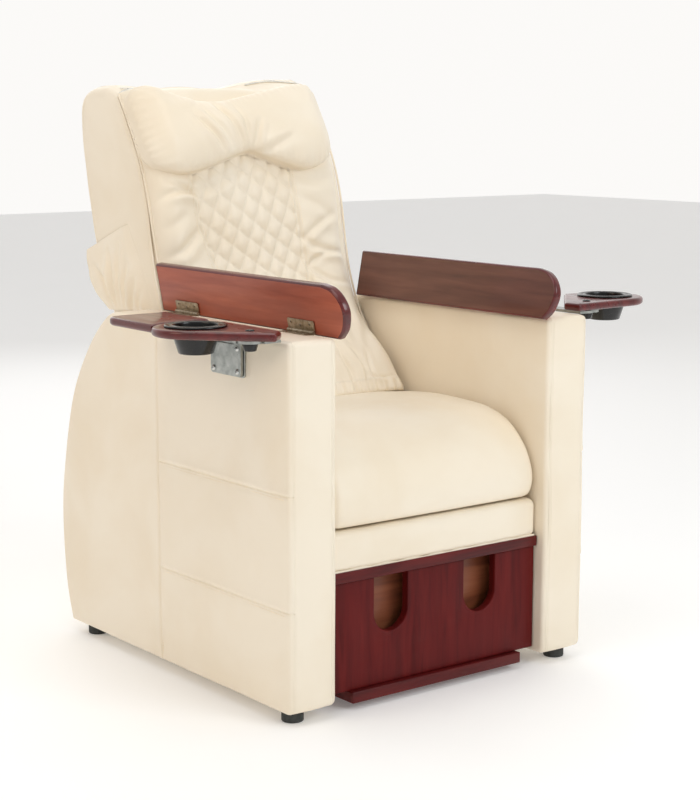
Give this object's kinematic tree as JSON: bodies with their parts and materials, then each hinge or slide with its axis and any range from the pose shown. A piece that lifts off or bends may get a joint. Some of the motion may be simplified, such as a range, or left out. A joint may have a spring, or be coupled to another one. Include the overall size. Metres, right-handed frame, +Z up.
{
  "type": "pedicure spa chair",
  "caption": "Upholstered pedicure chair with reclining massage back, head pillow, fold-over wooden arm boards, swivelling cup trays and a pull-out foot-basin drawer.",
  "frame": {"origin": "on the floor under the middle of the whole chair's bounding box, trays and boards included; the middle of the seat is 32 mm to the sitter's right of it", "axes": "+Z up; -Y is the way the sitter faces; +X is the sitter's left"},
  "size_m": [1.087, 0.9229, 1.1207],
  "materials": {
    "cream_leather": "soft satin",
    "cherry_wood": "gloss lacquer",
    "plywood": "matt",
    "satin_steel": "satin",
    "hinge_bronze": "antique satin",
    "black_plastic": "gloss",
    "black_rubber": "matt"
  },
  "bodies": {
    "chair_base": {"left_arm_cover": "cream_leather", "right_arm_cover": "cream_leather", "left_arm_board": "plywood", "right_arm_board": "plywood", "left_front_foot": "black_rubber", "right_front_foot": "black_rubber", "left_rear_foot": "black_rubber", "right_rear_foot": "black_rubber", "front_cross_rail": "plywood", "rear_cross_rail": "plywood", "recline_axle": "satin_steel", "seat_deck": "plywood", "front_rail_pad": "cream_leather", "drawer_top_rail": "cherry_wood", "seat_cushion": "cream_leather", "rear_panel": "cream_leather", "power_inlet": "black_plastic", "left_drawer_runner": "satin_steel", "right_drawer_runner": "satin_steel", "left_front_hinge_arm_leaf": "hinge_bronze", "right_front_hinge_arm_leaf": "hinge_bronze", "left_rear_hinge_arm_leaf": "hinge_bronze", "right_rear_hinge_arm_leaf": "hinge_bronze", "left_side_shelf": "cherry_wood", "right_side_shelf": "cherry_wood", "left_tray_support": "satin_steel", "right_tray_support": "satin_steel", "left_tray_bracket": "satin_steel", "right_tray_bracket": "satin_steel"},
    "drawer": {"drawer_front": "cherry_wood", "drawer_box": "plywood", "drawer_plinth": "cherry_wood"},
    "backrest": {"back_shell": "cream_leather", "back_pad": "cream_leather", "head_pillow": "cream_leather", "back_frame": "satin_steel", "massage_rails": "satin_steel", "left_side_gusset": "cream_leather", "right_side_gusset": "cream_leather", "rear_skirt": "cream_leather"},
    "massage_carriage": {"massage_carriage": "black_plastic"},
    "lower_left_roller": {"lower_left_roller": "black_rubber"},
    "lower_right_roller": {"lower_right_roller": "black_rubber"},
    "upper_left_roller": {"upper_left_roller": "black_rubber"},
    "upper_right_roller": {"upper_right_roller": "black_rubber"},
    "actuator_tube": {"actuator_tube": "black_plastic"},
    "actuator_rod": {"actuator_rod": "satin_steel"},
    "left_flip_board": {"left_flip_board": "cherry_wood", "left_front_hinge_board_leaf": "hinge_bronze", "left_rear_hinge_board_leaf": "hinge_bronze"},
    "right_flip_board": {"right_flip_board": "cherry_wood", "right_front_hinge_board_leaf": "hinge_bronze", "right_rear_hinge_board_leaf": "hinge_bronze"},
    "left_tray": {"left_cup_tray": "cherry_wood", "left_cup_holder": "black_plastic", "left_pivot_knob": "black_plastic"},
    "right_tray": {"right_cup_tray": "cherry_wood", "right_cup_holder": "black_plastic", "right_pivot_knob": "black_plastic"}
  },
  "joints": [
    {"name": "backrest_recline", "type": "hinge", "parent": "chair_base", "child": "backrest", "pos_m": [-0.032, 0.166, 0.36], "axis": [-1, 0, 0], "range_deg": [0, 30], "deforming": ["rear_skirt"]},
    {"name": "drawer_slide", "type": "slide", "parent": "chair_base", "child": "drawer", "axis": [0, -1, 0], "range_m": [0, 0.35]},
    {"name": "left_board_fold", "type": "hinge", "parent": "chair_base", "child": "left_flip_board", "pos_m": [0.221, -0.149, 0.68175], "axis": [0, 1, 0], "range_deg": [0, 79.5]},
    {"name": "right_board_fold", "type": "hinge", "parent": "chair_base", "child": "right_flip_board", "pos_m": [-0.285, -0.149, 0.68175], "axis": [0, -1, 0], "range_deg": [0, 79.5]},
    {"name": "left_tray_swivel", "type": "hinge", "parent": "chair_base", "child": "left_tray", "pos_m": [0.365, -0.386, 0.69], "axis": [0, 0, -1], "range_deg": [-44, 6]},
    {"name": "right_tray_swivel", "type": "hinge", "parent": "chair_base", "child": "right_tray", "pos_m": [-0.429, -0.386, 0.69], "axis": [0, 0, 1], "range_deg": [0, 50]},
    {"name": "massage_travel", "type": "slide", "parent": "backrest", "child": "massage_carriage", "axis": [0, 0.2684, 0.9633], "range_m": [0, 0.24]},
    {"name": "lower_left_roller_spin", "type": "hinge", "parent": "massage_carriage", "child": "lower_left_roller", "pos_m": [0.03, 0.19215, 0.6849], "axis": [1, 0, 0], "continuous": true},
    {"name": "lower_right_roller_spin", "type": "hinge", "parent": "massage_carriage", "child": "lower_right_roller", "pos_m": [-0.094, 0.19215, 0.6849], "axis": [1, 0, 0], "continuous": true},
    {"name": "upper_left_roller_spin", "type": "hinge", "parent": "massage_carriage", "child": "upper_left_roller", "pos_m": [0.03, 0.21093, 0.75233], "axis": [1, 0, 0], "continuous": true},
    {"name": "upper_right_roller_spin", "type": "hinge", "parent": "massage_carriage", "child": "upper_right_roller", "pos_m": [-0.094, 0.21093, 0.75233], "axis": [1, 0, 0], "continuous": true},
    {"name": "actuator_swing", "type": "hinge", "parent": "chair_base", "child": "actuator_tube", "pos_m": [-0.032, -0.284, 0.285], "axis": [1, 0, 0], "range_deg": [0, 2.4]},
    {"name": "actuator_stroke", "type": "slide", "parent": "actuator_tube", "child": "actuator_rod", "axis": [0, 0.9994, -0.0341], "range_m": [-0.0445, 0]}
  ],
  "couplings": [
    {"joint": "actuator_swing", "follows": "backrest_recline", "ratio": 0.074999},
    {"joint": "actuator_stroke", "follows": "backrest_recline", "m_per_rad": -0.083863}
  ]
}
